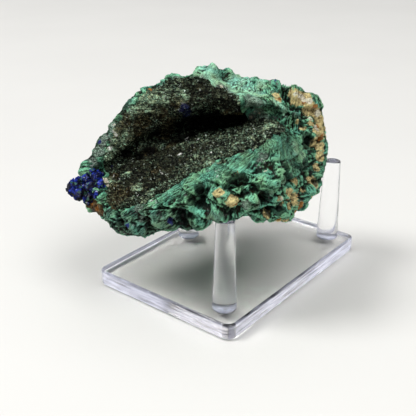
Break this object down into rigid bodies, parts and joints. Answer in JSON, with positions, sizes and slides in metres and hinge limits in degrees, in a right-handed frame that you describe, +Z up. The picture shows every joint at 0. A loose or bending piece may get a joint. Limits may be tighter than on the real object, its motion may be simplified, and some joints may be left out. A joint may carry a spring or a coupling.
{
  "type": "mineral specimen on a display stand",
  "caption": "Lumpy green malachite stone with a dark crystal-lined hollow and a blue azurite tip, lying on a clear rectangular stand with tapered pegs.",
  "frame": {"origin": "middle of the stand plate's underside", "axes": "+Z up; X along the plate's long side; the long side with a peg at each end faces -Y, and the stone's open hollow faces between -X and -Y"},
  "size_m": [0.1235, 0.0885, 0.0987],
  "materials": {
    "malachite": "matte",
    "druse": "satin",
    "azurite": "satin",
    "clear_acrylic": "polished"
  },
  "bodies": {
    "root": {"malachite_rock": "malachite", "hollow_crust": "druse", "azurite_crystals": "azurite", "stand_base": "clear_acrylic", "front_left_peg": "clear_acrylic", "front_right_peg": "clear_acrylic", "back_peg": "clear_acrylic"}
  },
  "joints": []
}
